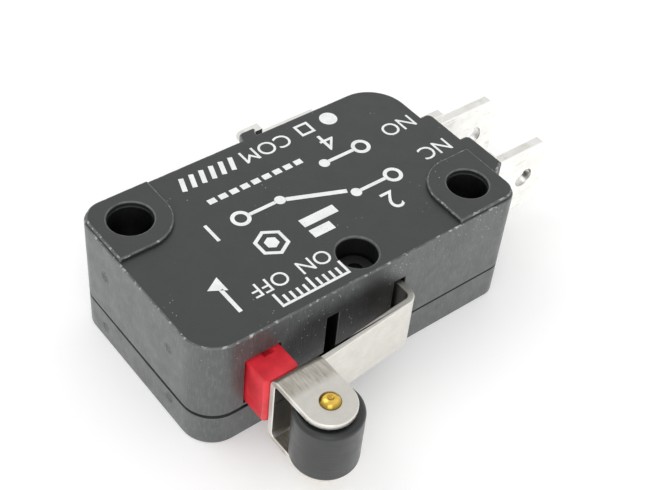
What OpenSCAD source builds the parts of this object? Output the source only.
// Miniature basic switch with a hinge roller lever: moulded two-part housing,
// snap-action changeover mechanism and three 6.35 mm tab terminals.
// Millimetres. The switch lies on its cover: +Z runs through its thickness,
// X along its length (tabs at +X) and the lever works on the -Y edge.
// The origin is the middle of the outline, on the outer face of the cover.

/* [Housing] */
// Length of the housing without its terminal shrouds
body_length = 27.8; // [27.4:0.1:28.2]
// Width of the housing, from the lever edge to the common edge
body_width = 15.9; // [15.7:0.1:16.2]
// Height of the printed face above the outer face of the cover
face_z = 10; // [9.8:0.1:10.4]
// How far the two bearing pads stand above the printed face
pad_rise = 0.3; // [0.1:0.05:0.5]
// Height at which the case and the cover part
parting_z = 2.9; // [2.5:0.1:3.1]
// Width of the visible groove along the parting line
parting_gap = 0.12; // [0.05:0.01:0.2]
// Thickness of the side walls
wall = 1.2; // [1.1:0.05:1.4]
// Thickness of the cover's floor
floor_thick = 1.2; // [0.9:0.1:1.3]
// Thickness of the case's roof
roof_thick = 1.25; // [1:0.05:1.4]
// Depth of the case's rim inside the cover
rim_depth = 0.8; // [0.5:0.1:1]
// Corner radius beside the plunger
plunger_corner_r = 2.45; // [1.5:0.05:2.8]
// Corner radius beside the slotted mounting hole
hole_corner_r = 1.8; // [1.5:0.1:2.4]
// Corner radius on the common edge at the terminal end
common_corner_r = 3.1; // [2:0.1:3.4]
// Corner radius on the lever edge at the terminal end
lever_corner_r = 1.4; // [1:0.1:2]
// How far the terminal end is set back on the common side
end_setback = 0.45; // [0.2:0.05:0.7]

/* [Mounting holes] */
// Distance of each mounting hole from the two sides nearest to it
hole_inset = 2.8; // [2.75:0.05:2.85]
// Bore of the close mounting hole, beside the terminals
close_hole_d = 3.1; // [2.9:0.1:3.3]
// Bore of the wide mounting hole, beside the plunger
wide_hole_d = 3.3; // [3.1:0.1:3.4]
// Wall round a mounting hole inside the housing
hole_wall = 0.7; // [0.5:0.05:0.8]
// Margin of the bearing pads round a mounting hole
pad_margin = 1.35; // [1:0.05:1.5]
// How far the bearing pads stay inside the outline
pad_inset = 0.15; // [0.05:0.05:0.3]

/* [Locating peg] */
// Diameter of the cover's locating peg
peg_d = 2.7; // [2.2:0.1:2.9]
// Distance of the peg from the lever's tail, along the housing
peg_offset = 2.54; // [2.4:0.02:3]
// Distance of the peg from the lever edge
peg_inset = 2.05; // [1.9:0.05:2.3]
// Depth of the peg's end under the printed face
peg_sink = 1.7; // [1.4:0.1:2]

/* [Plunger] */
// Distance of the plunger's middle from the plunger end
plunger_inset = 4.75; // [4.6:0.05:4.9]
// Width of the plunger's button along the housing
plunger_width = 2.7; // [2.5:0.1:2.9]
// Height of the plunger's button through the housing
plunger_height = 4.2; // [3.8:0.1:4.4]
// Height of the plunger's middle above the cover's outer face
plunger_z = 5.45; // [5.3:0.05:5.6]
// How far the button stands out of the housing when free
plunger_reach = 2.15; // [1.9:0.05:2.2]
// Rounding of the button's two front corners
plunger_nose_r = 0.35; // [0.2:0.05:0.8]
// Clearance between the button and the case
plunger_clear = 0.12; // [0.08:0.01:0.2]
// Thickness of the collar that keeps the plunger in
collar_thick = 1.1; // [0.8:0.1:1.3]

/* [Lever] */
// Thickness of the lever's sheet
lever_thick = 0.5; // [0.4:0.05:0.55]
// Width of the lever's arm through the housing
arm_width = 4.7; // [4.2:0.1:4.9]
// Height of the lever's middle above the cover's outer face
lever_z = 4.98; // [4.9:0.01:5.15]
// Length of the lever from the plunger's middle to its tail
lever_length = 11.82; // [11.6:0.02:12]
// Distance between the lever's tail and the spare lever slot
slot_pitch = 5.98; // [5.9:0.02:6.1]
// Clearance on each side of the tail in its slot
tail_clear = 0.27; // [0.2:0.01:0.35]
// Distance of the arm's bend from the housing's lever edge
arm_offset = 1.6; // [1.5:0.05:1.8]
// Inside radius of the arm's bend
arm_bend_r = 0.5; // [0.3:0.05:0.8]
// How far the arm rises away from the housing up to the roller yoke
arm_rise = 0.84; // [0.7:0.02:0.95]
// Length of the roller yoke along the housing
yoke_length = 3.8; // [3.6:0.1:4]
// Height of the roller yoke through the housing, over both ears
yoke_height = 6.2; // [6:0.1:6.4]
// Outside radius of the bends between the yoke's web and its ears
ear_bend_r = 0.8; // [0.65:0.05:1]

/* [Roller] */
// Diameter of the roller
roller_d = 4.8; // [4.4:0.1:4.9]
// Clearance between the roller and each ear
roller_clear = 0.2; // [0.1:0.02:0.3]
// Rounding of the roller's edges
roller_edge_r = 0.35; // [0.1:0.05:0.5]
// Distance of the roller's pin from the outer face of the yoke's web
pin_offset = 3.2; // [3:0.05:3.4]
// Distance of the roller's pin from the plunger's middle, along the housing
pin_shift = 0.9; // [0.6:0.05:1]
// Diameter of the roller's pin
pin_d = 1.1; // [0.9:0.1:1.3]
// Running clearance of the roller round its pin, on the radius
pin_clear = 0.05; // [0.03:0.01:0.08]
// Diameter of the pin's two heads
pin_head_d = 1.55; // [1.45:0.05:1.9]
// Height of the pin's domed head
pin_head_h = 0.45; // [0.3:0.05:0.6]

/* [Terminals] */
// Thickness of the terminals' sheet
tab_thick = 0.8; // [0.75:0.01:0.85]
// Width of the tabs
tab_width = 6.35; // [6:0.05:6.5]
// Length of the tabs past their shoulders
tab_length = 6.3; // [6:0.1:7.9]
// How far the shoulders of the end tabs stand out past the housing
shoulder_reach = 2.1; // [2:0.1:2.6]
// Height of the tabs' middle above the cover's outer face
tab_z = 5.15; // [5.05:0.01:5.25]
// Width of the terminals at their shoulders
shoulder_width = 8.2; // [7.6:0.1:8.2]
// Width of the terminals inside the housing
inner_width = 5; // [4.6:0.1:5.2]
// Corner bevel at the tips of the tabs
tab_bevel = 1; // [0.5:0.1:1.2]
// Diameter of the detent hole in the tabs
tab_hole_d = 1.7; // [1.5:0.1:1.9]
// Distance of the detent hole from the tip
tab_hole_setback = 2.4; // [2.2:0.1:3]
// Clearance round the terminals where they leave the housing
tab_clear = 0.05; // [0.03:0.01:0.1]
// Distance of the normally open tab from the middle of the width
no_tab_y = 3.05; // [2.9:0.05:3.2]
// Distance of the normally closed tab from the middle of the width
nc_tab_y = -3; // [-3.1:0.05:-2.9]
// Distance of the normally closed strip inside the housing from the middle
nc_strip_y = -1.1; // [-1.2:0.05:-1]
// Distance of the common terminal's leg from the terminal end
com_leg_inset = 13; // [12.8:0.05:13.1]
// Gap between the common tab and the housing
com_gap = 1.05; // [0.9:0.05:1.4]
// Reach of the terminal shroud beside the normally open tab
no_shroud = 0.45; // [0.3:0.05:0.6]
// Reach of the terminal shroud round the normally closed tab
nc_shroud = 1.25; // [1.2:0.05:1.4]
// Slant of that shroud's flank beside the mounting hole
flank_slant = 0.65; // [0.3:0.05:0.8]

/* [Snap mechanism] */
// Thickness of the contact arm
blade_thick = 0.3; // [0.25:0.05:0.35]
// Width of the contact arm
blade_width = 4.2; // [4:0.1:4.4]
// Distance from the contact arm's pivot to its contact
blade_reach = 12.95; // [12.7:0.05:13.1]
// Distance of the pivot post from the plunger's middle
post_offset = 4.35; // [4.2:0.05:4.5]
// Distance of the contact arm's pivot from the middle of the width
pivot_y = 1.1; // [1:0.05:1.2]
// Slope of the contact arm when the switch is free, in degrees
blade_rest = 2.87; // [2.6:0.01:3]
// Swing of the contact arm from one contact to the other, in degrees
swing_angle = 4.2; // [3.8:0.1:4.3]
// Diameter of the moving contact
contact_d = 2.6; // [2.4:0.1:2.8]
// Height of each head of the moving contact
contact_head = 0.45; // [0.35:0.05:0.5]
// Crown radius of the fixed contacts
crown_r = 4; // [3:0.5:6]
// Gap left between contacts that are closed
contact_gap = 0.03; // [0.01:0.01:0.05]
// Diameter of the contacts' rivet shanks
rivet_d = 1.2; // [1:0.1:1.3]
// Outer diameter of the snap spring
spring_d = 1.8; // [1.6:0.1:1.9]
// Wire of the snap spring
spring_wire = 0.3; // [0.25:0.05:0.35]
// Number of coils in the snap spring
spring_coils = 14; // [10:1:18]

/* [Hidden] */
$fn = 64;

// How far joined shapes run into each other, and cutting shapes past what they cut
joint = 0.01;
over = 1;
// Half the size of the shapes that cut right through the part
reach = body_length;
// Clearance of riveted shanks in their holes, on the diameter
rivet_clear = 0.04;

// Outline of the housing
left_x = -body_length / 2;
near_y = -body_width / 2;
far_y = body_width / 2;
near_end_x = body_length / 2;
far_end_x = near_end_x - end_setback;
no_end_x = near_end_x + no_shroud;
nc_end_x = near_end_x + nc_shroud;
shroud_side_y = 2.75;
shroud_step_y = -0.85;
shroud_low_y = -4.6;
shroud_round = 0.45;
shroud_bevel = 0.2;
// Radius left at the cavity's corners on the lever edge
inner_corner_r = 0.4;
plunger_x = left_x + plunger_inset;
tail_x = plunger_x + lever_length;
peg_x = tail_x - peg_offset;
peg_y = near_y + peg_inset;
// Clearance round the peg on the diameter, the wall and depth of its socket,
// and the dimple in its end
peg_clear = 0.3;
socket_wall = 0.35;
socket_depth = 0.6;
peg_dimple_d = 1.2;
peg_dimple_depth = 0.3;
// Clearance of the case's rim inside the cover
rim_clear = 0.05;
post_x = plunger_x + post_offset;
com_leg_x = near_end_x - com_leg_inset;
// Boss round the common terminal's leg: side margin, rise, bevel and lean
boss_margin = 0.25;
boss_rise = 0.78;
boss_bevel = 0.13;
boss_lean = 0.35;
pad_z = face_z + pad_rise;
roof_z = face_z - roof_thick;
mid_z = tab_z;

// Mounting holes
wide_hole = [left_x + hole_inset, far_y - hole_inset];
close_hole = [near_end_x - hole_inset, near_y + hole_inset];

// Lever, at rest
tail_slot_w = lever_thick + 2 * tail_clear;
slot_low_z = lever_z - arm_width / 2 - tail_clear;
slot_high_z = lever_z + arm_width / 2 + tail_clear;
bend_y = near_y - arm_offset;
yoke_web_y = bend_y - arm_rise;
pin_x = plunger_x + pin_shift;
pin_y = yoke_web_y - lever_thick / 2 - pin_offset;
yoke_left_x = pin_x - yoke_length / 2 - 0.08;
yoke_right_x = yoke_left_x + yoke_length;
ear_gap = yoke_height - 2 * lever_thick;
roller_width = ear_gap - 2 * roller_clear;
tail_head_y = near_y + wall + 0.2;
tail_head_len = 0.9;
tail_head_rise = 0.6;
// Bend between the arm and the yoke's web, and how far it lies from the yoke's end
kink_r = 3;
kink_inset = 0.2;
pin_tail_h = 0.3;
// Dimple that the riveting tool leaves in the pin's head
pin_dimple_r = 0.32;
pin_dimple_rise = 0.15;

// Plunger
plunger_tip_y = near_y - plunger_reach;
plunger_low_z = plunger_z - plunger_height / 2;
plunger_high_z = plunger_z + plunger_height / 2;
collar_y = near_y + wall + 0.15;
collar_side = 0.6;
collar_rise = 0.5;
collar_r = 0.2;
// Half-round relief along the top of the button
relief_r = 0.45;
relief_x = plunger_x + 0.25;
relief_front = 0.3;
// Shank that carries the bar for the spring
shank_width = 1.25;
shank_half_h = 1.6;
shank_slot_half = 0.6;
shank_slot_front = 0.95;
shank_end = 0.42;
hook_bar_half = 0.9;
hook_bar_d = 0.5;
hook_x = plunger_x + 0.15;
hook_y = pivot_y - 0.15;

// Snap mechanism, at rest
post_right_x = post_x + tab_thick / 2;
blade_pivot = [post_right_x, pivot_y];
blade_dir = [cos(blade_rest), -sin(blade_rest)];
blade_up = [sin(blade_rest), cos(blade_rest)];
contact_mid = blade_pivot + blade_reach * blade_dir;
head_n = blade_thick / 2 + contact_head;
nc_low = contact_mid - head_n * blade_up;
nc_crown_y = nc_low[1] + crown_r * (1 - 1 / cos(blade_rest)) - contact_gap;
blade_end = swing_angle - blade_rest;
no_top_y = pivot_y + blade_reach * sin(blade_end) + head_n * cos(blade_end);
no_crown_y = no_top_y - crown_r * (1 - 1 / cos(blade_end)) + contact_gap;
contact_x = nc_low[0];
// Places along the contact arm, from its pivot: the spring's anchor and the
// end of the window that the spring lies in
anchor_s = 7.1;
anchor_hole_d = 0.8;
window_s = 6.2;
window_h = spring_d + 0.6;
taper_length = 3.9;
contact_margin = 0.35;
paddle_r = contact_d / 2 + contact_margin;
knife = 0.1;
// Groove in the post that the knife edges bear in
groove_depth = 0.17;
groove_half = 0.25;
// How far the post's window reaches below and above the pivot
window_below = 1.45;
window_above = 2.2;
rivet_tail = 0.25;

steel = [0.75, 0.75, 0.73];
tin = [0.85, 0.85, 0.84];
black = [0.2, 0.21, 0.21];
red = [0.8, 0.16, 0.18];
brass = [0.8, 0.65, 0.25];
bronze = [0.72, 0.5, 0.3];
silver = [0.88, 0.88, 0.86];

// Folded strips: a middle line with a round bend at each inner corner
function unit(v) = v / norm(v);
function heading(v) = atan2(v[1], v[0]);
function turning(a, b) = atan2(a[0] * b[1] - a[1] * b[0], a * b);

// Points of one side of the strip at corner i, o to the left of the line
function strip_corner(path, bends, i, o) =
    let (last = len(path) - 1,
        d = unit(path[min(i + 1, last)] - path[min(i, last - 1)]),
        left = [-d[1], d[0]])
    (i == 0 || i == last) ? [path[i] + o * left] :
    let (d0 = unit(path[i] - path[i - 1]),
        phi = turning(d0, path[i + 1] - path[i]),
        s = sign(phi),
        c = path[i] - d0 * bends[i] * tan(abs(phi) / 2)
            + s * bends[i] * [-d0[1], d0[0]],
        steps = max(2, ceil(abs(phi) / 9)))
    [for (k = [0:steps])
        let (a = heading(d0) - s * 90 + phi * k / steps)
        c + (bends[i] - s * o) * [cos(a), sin(a)]];

function strip_side(path, bends, o) =
    [for (i = [0:len(path) - 1]) each strip_corner(path, bends, i, o)];

function reversed(list) = [for (i = [len(list) - 1:-1:0]) list[i]];

module strip(path, bends, thick) {
    polygon(concat(strip_side(path, bends, thick / 2),
        reversed(strip_side(path, bends, -thick / 2))));
}

// Rectangle from corner a to corner b, with radii r at its low-low,
// high-low, high-high and low-high corners
module round_rect(a, b, r) {
    c = [a, [b[0], a[1]], b, [a[0], b[1]]];
    s = [[1, 1], [-1, 1], [-1, -1], [1, -1]];
    difference() {
        translate(a) square(b - a);
        for (i = [0:3])
            if (r[i] > 0)
                translate(c[i] - joint * s[i]) corner_square(s[i], r[i] + joint);
    }
    for (i = [0:3])
        if (r[i] > 0) translate(c[i] + r[i] * s[i]) circle(r[i]);
}

// Square of side w that grows from the origin towards s
module corner_square(s, w) {
    translate([min(0, s[0] * w), min(0, s[1] * w)]) square(w);
}

// Outline of the housing, drawn in by d
module outline(d) {
    lever_r = max(lever_corner_r - d, inner_corner_r);
    round_rect([left_x + d, near_y + d], [far_end_x - d, far_y - d],
        [plunger_corner_r - d, lever_r, common_corner_r - d, hole_corner_r - d]);
    round_rect([0, near_y + d], [near_end_x - d, shroud_step_y - d], [0, lever_r, 0, 0]);
    if (d == 0) {
        com_boss();
        shrouds();
    }
}

// Shrouds beside the two end tabs
module shrouds() {
    flank_y = shroud_low_y - flank_slant;
    round_rect([0, shroud_step_y - over], [no_end_x, shroud_side_y], [0, 0, shroud_round, 0]);
    round_rect([0, shroud_low_y], [nc_end_x, shroud_step_y], [0, 0, shroud_round, 0]);
    polygon([[0, flank_y], [near_end_x, flank_y], [nc_end_x - shroud_bevel, shroud_low_y],
        [nc_end_x, shroud_low_y + shroud_bevel], [0, shroud_step_y]]);
}

// Boss that the common terminal's leg comes out of, leaning towards its tab
module com_boss() {
    left = com_leg_x - tab_thick / 2;
    right = com_leg_x + tab_thick / 2;
    foot = right + boss_lean;
    shoulder_y = far_y + boss_rise - boss_bevel;
    top_y = far_y + boss_rise;
    polygon([[left - boss_margin, far_y - wall], [foot, far_y - wall], [foot, far_y + boss_bevel],
        [foot + boss_margin, shoulder_y], [foot + boss_bevel, top_y], [left + boss_margin, top_y],
        [left, shoulder_y], [left - boss_margin, far_y]]);
}

// Material kept round the mounting holes inside the housing
module hole_bosses(c) {
    translate(wide_hole) circle(wide_hole_d / 2 + hole_wall + c);
    translate(close_hole) circle(close_hole_d / 2 + hole_wall + c);
}

module hole_bores() {
    slab(-over, pad_z + over) {
        translate(wide_hole) circle(d = wide_hole_d);
        translate(close_hole) circle(d = close_hole_d);
    }
}

module cavity() {
    difference() {
        outline(wall);
        hole_bosses(0);
    }
}

module slab(low, high) {
    translate([0, 0, low]) linear_extrude(high - low) children();
}

/* Terminals */

// Side view of a tab: strip inside the housing, wider root, bevelled tab.
// c is added all round, for the slots in the housing.
module tab_side(inner_x, root_x, shoulder_x, c) {
    tip_x = shoulder_x + tab_length;
    w = tab_width / 2 + c;
    translate([inner_x, -inner_width / 2 - c]) square([shoulder_x - inner_x, inner_width + 2 * c]);
    translate([root_x - c, -shoulder_width / 2 - c])
        square([shoulder_x - root_x + 2 * c, shoulder_width + 2 * c]);
    difference() {
        polygon([[root_x, -w], [tip_x - tab_bevel, -w], [tip_x + c, -w + tab_bevel],
            [tip_x + c, w - tab_bevel], [tip_x - tab_bevel, w], [root_x, w]]);
        translate([tip_x - tab_hole_setback, 0]) circle(d = tab_hole_d);
    }
}

// Extrudes a side view drawn in X and Z right through the part
module through_y() {
    translate([0, reach, tab_z]) rotate([90, 0, 0]) linear_extrude(2 * reach) children();
}

module upright_strip(path, bends, c) {
    slab(-over, pad_z + over) strip(path, bends, tab_thick + 2 * c);
}

strip_bend_r = 0.6;
strip_end_x = contact_x - paddle_r;
end_shoulder_x = near_end_x + shoulder_reach;
end_tip_x = end_shoulder_x + tab_length;
no_root_x = far_end_x - 0.6;
nc_root_x = near_end_x + 0.2;
nc_jog_x = near_end_x - 0.15;
nc_jog_run = 1;
no_path = [[end_tip_x + over, no_tab_y], [strip_end_x, no_tab_y]];
nc_path = [[end_tip_x + over, nc_tab_y], [nc_jog_x, nc_tab_y],
    [nc_jog_x - nc_jog_run, nc_strip_y], [strip_end_x, nc_strip_y]];
com_tab_y = far_y + com_gap + tab_thick / 2;
com_run_inset = 2.75;
com_run_y = far_y - com_run_inset;
com_shoulder_x = com_leg_x + shoulder_reach;
com_tip_x = com_shoulder_x + tab_length;
com_root_y = far_y - 0.3;
post_past = 2.1;
post_end_y = pivot_y - post_past;
com_path = [[com_tip_x + over, com_tab_y], [com_leg_x, com_tab_y],
    [com_leg_x, com_run_y], [post_x, com_run_y], [post_x, post_end_y]];

module no_blank(c) {
    intersection() {
        upright_strip(no_path, [0, 0], c);
        through_y() tab_side(strip_end_x, no_root_x, end_shoulder_x, c);
    }
}

module nc_blank(c) {
    intersection() {
        upright_strip(nc_path, [0, strip_bend_r, strip_bend_r, 0], c);
        through_y() tab_side(strip_end_x, nc_root_x, end_shoulder_x, c);
    }
}

module com_blank(c) {
    intersection() {
        upright_strip(com_path, [0, strip_bend_r, strip_bend_r, strip_bend_r, 0], c);
        union() {
            translate([-reach, post_end_y - over, tab_z - inner_width / 2 - c])
                cube([2 * reach, com_root_y - post_end_y + 2 * over, inner_width + 2 * c]);
            intersection() {
                translate([-reach, com_root_y - c, -reach]) cube(2 * reach);
                through_y() tab_side(com_leg_x - over, com_leg_x - over, com_shoulder_x, c);
            }
        }
    }
}

module rivet_hole(x) {
    through_y() translate([x, 0]) circle(d = rivet_d + rivet_clear);
}

module no_terminal() {
    color(tin) difference() {
        no_blank(0);
        rivet_hole(contact_x);
    }
}

module nc_terminal() {
    color(tin) difference() {
        nc_blank(0);
        rivet_hole(contact_x);
    }
}

module com_terminal() {
    lip = groove_half + over;
    groove = [[over, -lip], [over, lip], [0, groove_half], [-groove_depth, 0], [0, -groove_half]];
    color(tin) difference() {
        com_blank(0);
        // window for the snap spring
        translate([post_x - over, pivot_y - window_below, mid_z - window_h / 2])
            cube([2 * over, window_below + window_above, window_h]);
        // groove that the contact arm's knife edges bear in
        slab(-over, pad_z + over) translate([post_right_x, pivot_y]) polygon(groove);
    }
}

// Round contact of head height h, crowned, with its shank and rivet tail
module fixed_contact(h) {
    rotate_extrude() {
        intersection() {
            translate([0, h - crown_r]) circle(crown_r);
            square([contact_d / 2, h]);
        }
        translate([0, -tab_thick]) square([rivet_d / 2, tab_thick]);
        translate([0, -tab_thick - rivet_tail]) square([rivet_d / 2 + rivet_tail, rivet_tail]);
    }
}

module nc_contact() {
    seat_y = nc_strip_y + tab_thick / 2;
    color(silver) translate([contact_x, seat_y, tab_z]) rotate([-90, 0, 0])
        fixed_contact(nc_crown_y - seat_y);
}

module no_contact() {
    seat_y = no_tab_y - tab_thick / 2;
    color(silver) translate([contact_x, seat_y, tab_z]) rotate([90, 0, 0])
        fixed_contact(seat_y - no_crown_y);
}

/* Snap mechanism */

module on_blade() {
    translate([blade_pivot[0], blade_pivot[1], mid_z]) rotate([0, 0, -blade_rest]) children();
}

module contact_arm() {
    leg = (blade_width - window_h) / 2;
    half = blade_width / 2;
    taper_s = blade_reach - taper_length;
    color(bronze) on_blade() {
        translate([0, blade_thick / 2, 0]) rotate([90, 0, 0]) linear_extrude(blade_thick) difference() {
            union() {
                polygon([[knife, -half], [taper_s, -half], [blade_reach, -paddle_r],
                    [blade_reach, paddle_r], [taper_s, half], [knife, half]]);
                translate([blade_reach, 0]) circle(paddle_r);
            }
            translate([-over, -window_h / 2]) square([window_s + over, window_h]);
            translate([anchor_s, 0]) circle(d = anchor_hole_d);
            translate([blade_reach, 0]) circle(d = rivet_d + rivet_clear);
        }
        // knife edges
        for (side = [-1, 1])
            translate([0, 0, side * (window_h + leg) / 2 - leg / 2]) linear_extrude(leg)
                polygon([[knife, -blade_thick / 2], [knife, blade_thick / 2], [-knife, 0]]);
    }
}

module moving_contact() {
    low = blade_thick / 2;
    high = low + contact_head;
    edge = 0.12;
    side = [[contact_d / 2, low], [contact_d / 2, high - edge], [contact_d / 2 - edge, high], [0, high]];
    color(silver) on_blade() translate([blade_reach, 0, 0]) rotate([-90, 0, 0]) rotate_extrude()
        polygon(concat([for (i = [3:-1:0]) [side[i][0], -side[i][1]]],
            [[rivet_d / 2, -low], [rivet_d / 2, low]], side));
}

// Middle line of the snap spring, along X from its hook bar to its anchor:
// a loop round the bar, the coils, and a loop through the anchor hole
anchor = blade_pivot + anchor_s * blade_dir;
spring_run = norm(anchor - [hook_x, hook_y]);
loop_r = (hook_bar_d + spring_wire) / 2 + 0.08;
coil_r = (spring_d - spring_wire) / 2;
// Straight runs before the first coil and after the last one
coil_from = 1.6;
coil_last_run = 1.9;
coil_to = spring_run - coil_last_run;
coil_steps = 12;
anchor_loop_length = 0.83;
anchor_loop_r = 0.56;
hook_loop = [for (a = [250:-20:90]) [loop_r * cos(a), loop_r * sin(a), 0]];
coil = [for (k = [0:spring_coils * coil_steps])
    let (a = 360 * k / coil_steps)
    [coil_from + (coil_to - coil_from) * k / (spring_coils * coil_steps),
        coil_r * cos(a), coil_r * sin(a)]];
anchor_loop = [for (a = [90:-30:-90])
    [spring_run + 0.03 - anchor_loop_length * (1 - cos(a)), anchor_loop_r * sin(a), 0]];
spring_line = concat(hook_loop, [[0.6, loop_r + 0.03, 0]], coil, anchor_loop);

// Sweeps a round wire of diameter d along a line of points
module wire(line, d, sides) {
    last = len(line) - 1;
    way = [for (i = [0:last]) unit(line[min(i + 1, last)] - line[max(i - 1, 0)])];
    across = [for (i = 0, n = unit(cross(way[0], [0, 0, 1])); i <= last;
        i = i + 1, n = i > last ? n : unit(n - way[i] * (n * way[i]))) n];
    rings = [for (i = [0:last]) for (k = [0:sides - 1])
        let (a = 360 * k / sides)
        line[i] + d / 2 * (across[i] * cos(a) + cross(way[i], across[i]) * sin(a))];
    skin = [for (i = [0:last - 1]) for (k = [0:sides - 1])
        let (j = (k + 1) % sides, b = i * sides)
        each [[b + k, b + j, b + sides + j], [b + k, b + sides + j, b + sides + k]]];
    ends = [[for (k = [sides - 1:-1:0]) k], [for (k = [0:sides - 1]) last * sides + k]];
    polyhedron(rings, concat(skin, ends));
}

module snap_spring() {
    run = anchor - [hook_x, hook_y];
    color(steel) translate([hook_x, hook_y, mid_z]) rotate([0, 0, heading(run)])
        wire(spring_line, spring_wire, 6);
}

/* Plunger */

module plunger() {
    half = plunger_width / 2;
    shank_x = hook_x - shank_width / 2;
    end_y = hook_y + shank_end;
    color(red) difference() {
        union() {
            slab(plunger_low_z, plunger_high_z)
                round_rect([plunger_x - half, plunger_tip_y], [plunger_x + half, collar_y + joint],
                    [plunger_nose_r, plunger_nose_r, 0, 0]);
            slab(plunger_low_z - collar_rise, plunger_high_z + collar_rise)
                round_rect([plunger_x - half - collar_side, collar_y],
                    [plunger_x + half + collar_side, collar_y + collar_thick],
                    [collar_r, collar_r, collar_r, collar_r]);
            slab(mid_z - shank_half_h, mid_z + shank_half_h)
                translate([shank_x, collar_y]) square([shank_width, end_y - collar_y]);
        }
        // half-round relief along the top, starting just outside the wall
        translate([relief_x, near_y - relief_front, plunger_high_z + 0.1])
            rotate([-90, 0, 0]) cylinder(h = relief_front + wall + 0.1, r = relief_r);
        // slot for the spring's loop
        translate([shank_x - over, hook_y - shank_slot_front, mid_z - shank_slot_half])
            cube([shank_width + 2 * over, shank_slot_front + shank_end + over, 2 * shank_slot_half]);
    }
    // bar that the spring hooks over
    color(red) slab(mid_z - hook_bar_half, mid_z + hook_bar_half)
        translate([hook_x, hook_y]) circle(d = hook_bar_d);
}

/* Lever */

module yoke_section() {
    difference() {
        round_rect([pin_y - yoke_length, lever_z - yoke_height / 2],
            [yoke_web_y + lever_thick / 2, lever_z + yoke_height / 2], [0, ear_bend_r, ear_bend_r, 0]);
        round_rect([pin_y - yoke_length - over, lever_z - ear_gap / 2],
            [yoke_web_y - lever_thick / 2, lever_z + ear_gap / 2],
            [0, ear_bend_r - lever_thick, ear_bend_r - lever_thick, 0]);
    }
}

module lever() {
    kink_x = yoke_right_x - kink_inset;
    path = [[tail_x, tail_head_y + tail_head_len], [tail_x, bend_y], [kink_x, yoke_web_y],
        [yoke_left_x, yoke_web_y]];
    ear_x = (yoke_left_x + yoke_right_x) / 2;
    color(steel) difference() {
        union() {
            slab(lever_z - arm_width / 2, lever_z + arm_width / 2)
                strip(path, [0, arm_bend_r + lever_thick / 2, kink_r, 0], lever_thick);
            // head that keeps the tail in its slot
            slab(lever_z - arm_width / 2 - tail_head_rise, lever_z + arm_width / 2 + tail_head_rise)
                translate([tail_x - lever_thick / 2, tail_head_y]) square([lever_thick, tail_head_len]);
            intersection() {
                translate([yoke_left_x, 0, 0]) rotate([90, 0, 90])
                    linear_extrude(yoke_length) yoke_section();
                slab(-over, pad_z + over) {
                    translate([yoke_left_x, pin_y]) square([yoke_length, yoke_web_y + over - pin_y]);
                    translate([ear_x, pin_y]) circle(yoke_length / 2);
                }
            }
        }
        slab(-over, pad_z + over) translate([pin_x, pin_y]) circle(d = pin_d + rivet_clear);
    }
}

module roller() {
    color(black) translate([pin_x, pin_y, lever_z - roller_width / 2]) rotate_extrude()
        round_rect([pin_d / 2 + pin_clear, 0], [roller_d / 2, roller_width],
            [0, roller_edge_r, roller_edge_r, 0]);
}

module roller_pin() {
    head_r = pin_head_d / 2;
    dome_r = (head_r * head_r + pin_head_h * pin_head_h) / (2 * pin_head_h);
    color(brass) translate([pin_x, pin_y, lever_z]) difference() {
        rotate_extrude() {
            translate([0, -yoke_height / 2]) square([pin_d / 2, yoke_height]);
            translate([0, yoke_height / 2]) intersection() {
                translate([0, pin_head_h - dome_r]) circle(dome_r);
                square([head_r, pin_head_h]);
            }
            translate([0, -yoke_height / 2 - pin_tail_h]) square([head_r, pin_tail_h]);
        }
        // dimple left by the riveting tool
        translate([0, 0, yoke_height / 2 + pin_head_h + pin_dimple_rise]) sphere(pin_dimple_r);
    }
}

/* Housing */

module wall_openings() {
    cut_depth = wall + over + 0.1;
    // button of the plunger
    translate([plunger_x - plunger_width / 2 - plunger_clear, near_y - over, plunger_low_z - plunger_clear])
        cube([plunger_width + 2 * plunger_clear, cut_depth, plunger_height + 2 * plunger_clear]);
    // the lever's slot and the spare one
    for (x = [tail_x, tail_x - slot_pitch])
        translate([x - tail_slot_w / 2, near_y - over, slot_low_z])
            cube([tail_slot_w, cut_depth, slot_high_z - slot_low_z]);
    com_blank(tab_clear);
    nc_blank(tab_clear);
    no_blank(tab_clear);
}

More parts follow.
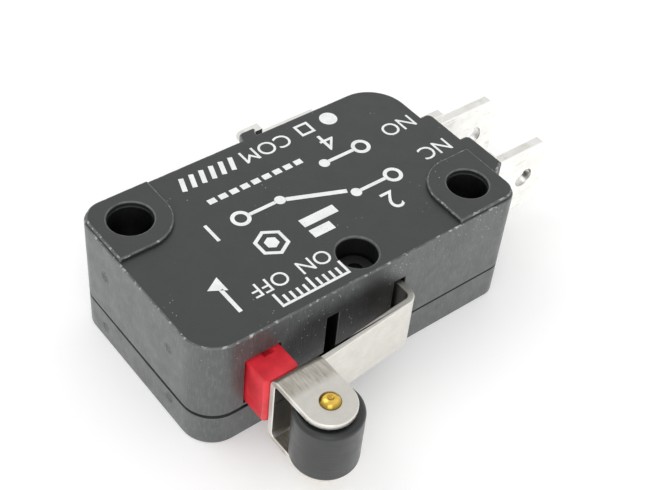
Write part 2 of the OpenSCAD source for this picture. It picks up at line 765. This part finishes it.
// Bearing pad from corner a to corner b, kept inside the outline
module pad(a, b, r) {
    slab(face_z - joint, pad_z) intersection() {
        outline(pad_inset);
        round_rect(a, b, r);
    }
}

module case() {
    pad_r = wide_hole_d / 2 + pad_margin;
    socket_low_z = face_z - peg_sink - socket_depth;
    color(black) difference() {
        union() {
            difference() {
                slab(parting_z, face_z) outline(0);
                // groove along the parting line
                slab(parting_z - over, parting_z + parting_gap) difference() {
                    square(2 * reach, center = true);
                    outline(wall / 2);
                }
                slab(parting_z - over, roof_z) cavity();
            }
            // rim that sits in the cover
            slab(parting_z - rim_depth, parting_z + 0.5) difference() {
                outline(wall / 2 + rim_clear);
                outline(wall);
                hole_bosses(rim_clear);
            }
            // bearing pads round the mounting holes
            pad([left_x - over, wide_hole[1] - pad_r], [wide_hole[0] + pad_r, far_y + over],
                [0, pad_r, 0, 0]);
            pad([close_hole[0] - pad_r, near_y - over], [nc_end_x, close_hole[1] + pad_r],
                [0, 0, 0, pad_r]);
            // socket round the locating peg
            slab(socket_low_z, roof_z + joint)
                translate([peg_x, peg_y]) circle(d = peg_d + peg_clear + 2 * socket_wall);
        }
        hole_bores();
        slab(parting_z - rim_depth - 0.1, pad_z + over)
            translate([peg_x, peg_y]) circle(d = peg_d + peg_clear);
        wall_openings();
    }
}

module cover() {
    color(black) difference() {
        union() {
            difference() {
                slab(0, parting_z) outline(0);
                slab(floor_thick, parting_z + 1) cavity();
                slab(parting_z - rim_depth, parting_z + 1) difference() {
                    outline(wall / 2);
                    outline(wall);
                    hole_bosses(0);
                }
            }
            slab(floor_thick - joint, face_z - peg_sink) translate([peg_x, peg_y]) circle(d = peg_d);
        }
        slab(face_z - peg_sink - peg_dimple_depth, face_z)
            translate([peg_x, peg_y]) circle(d = peg_dimple_d);
        hole_bores();
        wall_openings();
    }
}

case();
cover();
plunger();
lever();
roller();
roller_pin();
com_terminal();
nc_terminal();
no_terminal();
nc_contact();
no_contact();
contact_arm();
moving_contact();
snap_spring();
